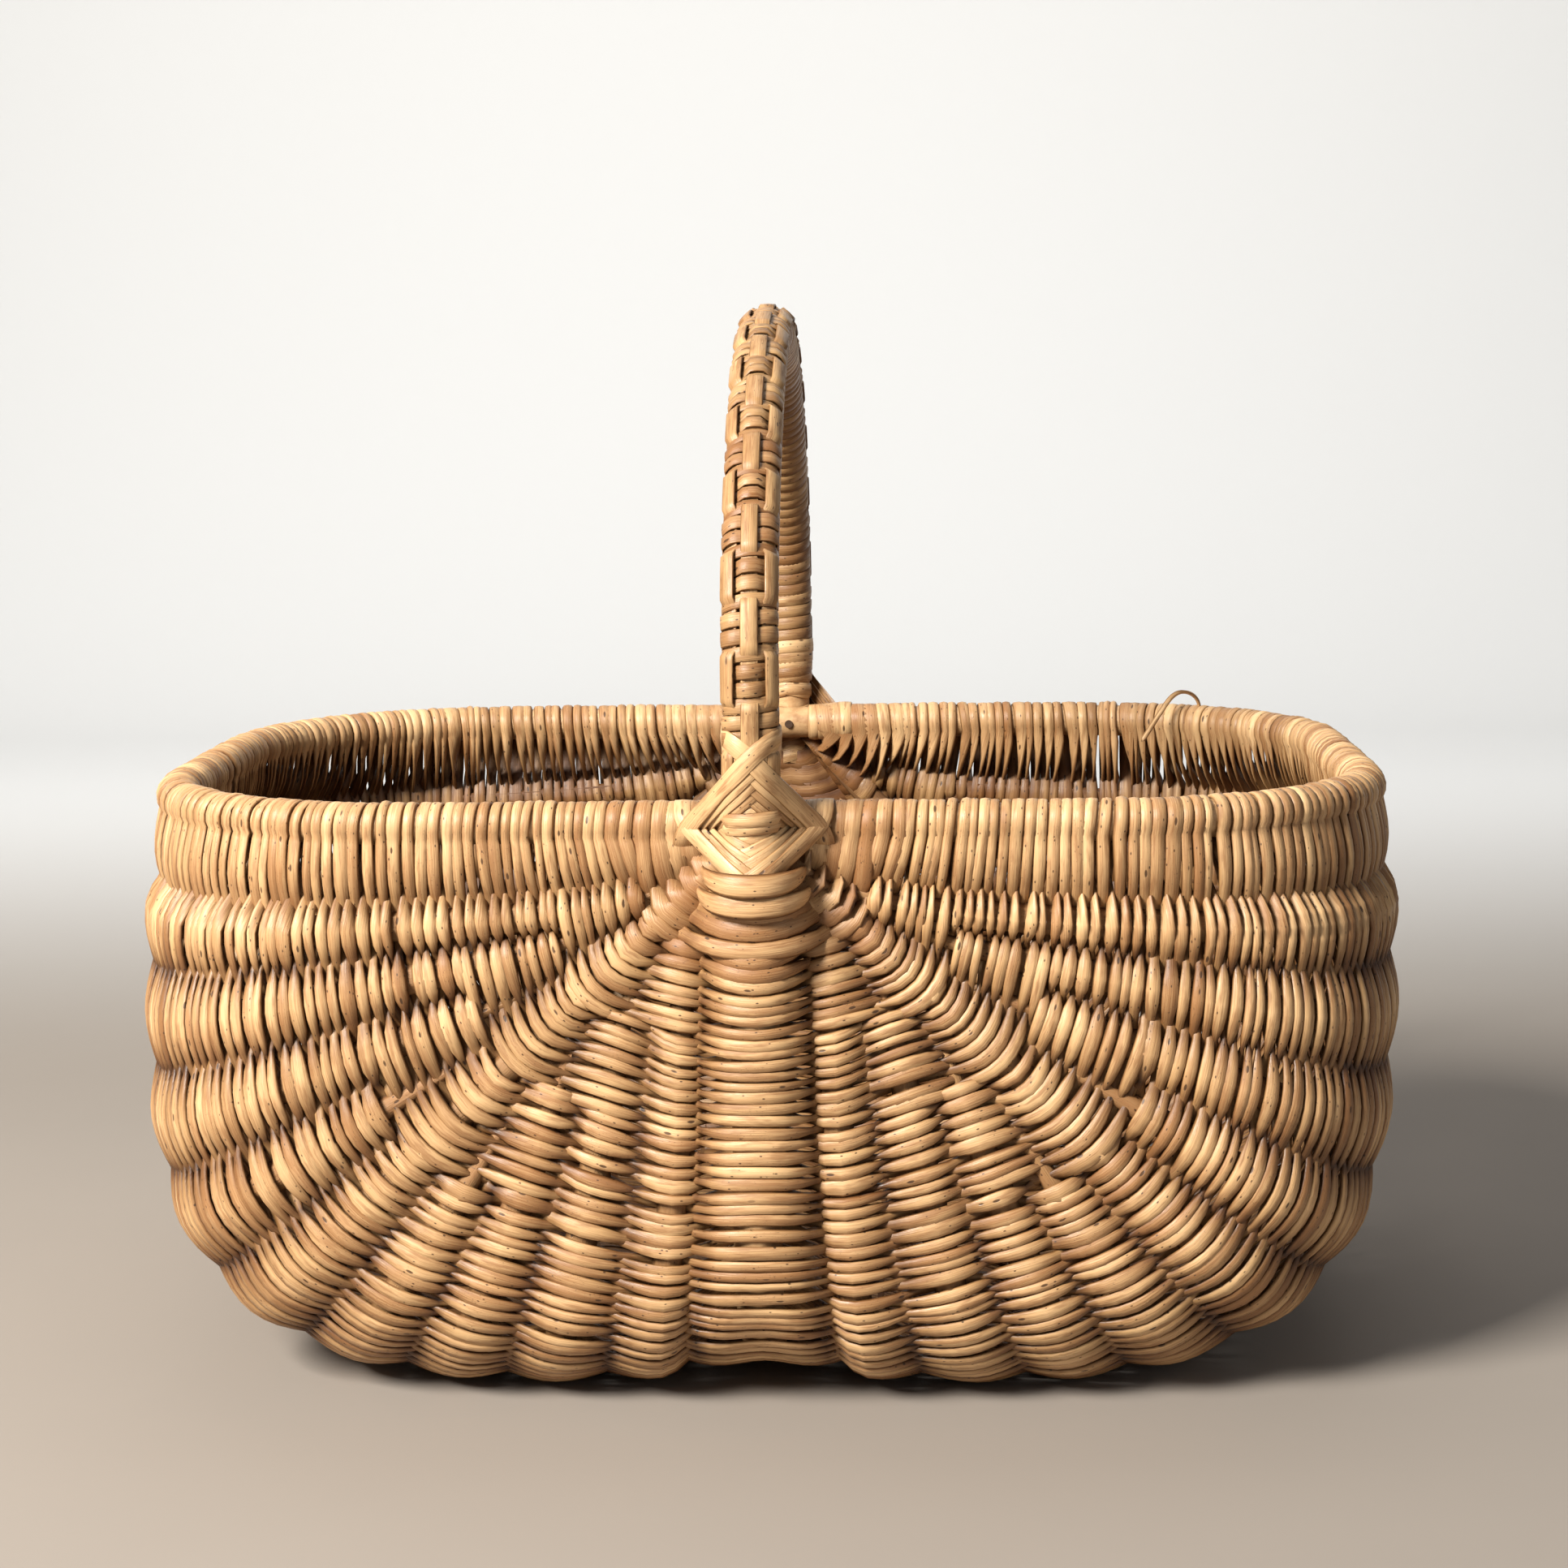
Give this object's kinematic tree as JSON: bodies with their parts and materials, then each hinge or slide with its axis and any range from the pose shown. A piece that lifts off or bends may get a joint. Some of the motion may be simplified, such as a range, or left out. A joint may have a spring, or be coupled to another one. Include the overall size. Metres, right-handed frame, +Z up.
{
  "type": "woven market basket",
  "caption": "Deep rounded-rectangle rib basket of split willow with a level rim, lashed eyes and a tall fixed hoop handle across its middle.",
  "frame": {"origin": "on the floor, under the middle of the basket", "axes": "+X along the basket's length, across the handle; -Y to the front; +Z up"},
  "size_m": [0.4892, 0.3656, 0.4065],
  "materials": {
    "weave": "split willow weavers, weathered straw to brown, satin",
    "hoop_rod": "peeled willow rod, satin",
    "split_rib": "split willow, flat face matt, round face satin",
    "lashing_skein": "flat willow skein, satin",
    "handle_strip": "flat willow strip, worn smooth",
    "handle_skein": "flat willow skein, worn smooth",
    "nail": "rusted wire nail"
  },
  "bodies": {
    "root": {"back_eye_lashing": "lashing_skein", "back_rim_nail": "nail", "back_weave": "weave", "front_eye_lashing": "lashing_skein", "front_rim_nail": "nail", "front_weave": "weave", "handle_hoop": "hoop_rod", "handle_strip_centre": "handle_strip", "handle_strip_left": "handle_strip", "handle_strip_right": "handle_strip", "handle_wrap": "handle_skein", "left_rib_1": "split_rib", "left_rib_2": "split_rib", "left_rib_3": "split_rib", "left_rib_4": "split_rib", "left_rib_5": "split_rib", "left_rib_6": "split_rib", "left_rib_7": "split_rib", "left_rib_8": "split_rib", "left_rib_9": "split_rib", "left_rim_binding": "weave", "loose_weaver_end": "weave", "right_rib_1": "split_rib", "right_rib_2": "split_rib", "right_rib_3": "split_rib", "right_rib_4": "split_rib", "right_rib_5": "split_rib", "right_rib_6": "split_rib", "right_rib_7": "split_rib", "right_rib_8": "split_rib", "right_rib_9": "split_rib", "right_rim_binding": "weave", "rim_hoop": "hoop_rod"}
  },
  "joints": []
}
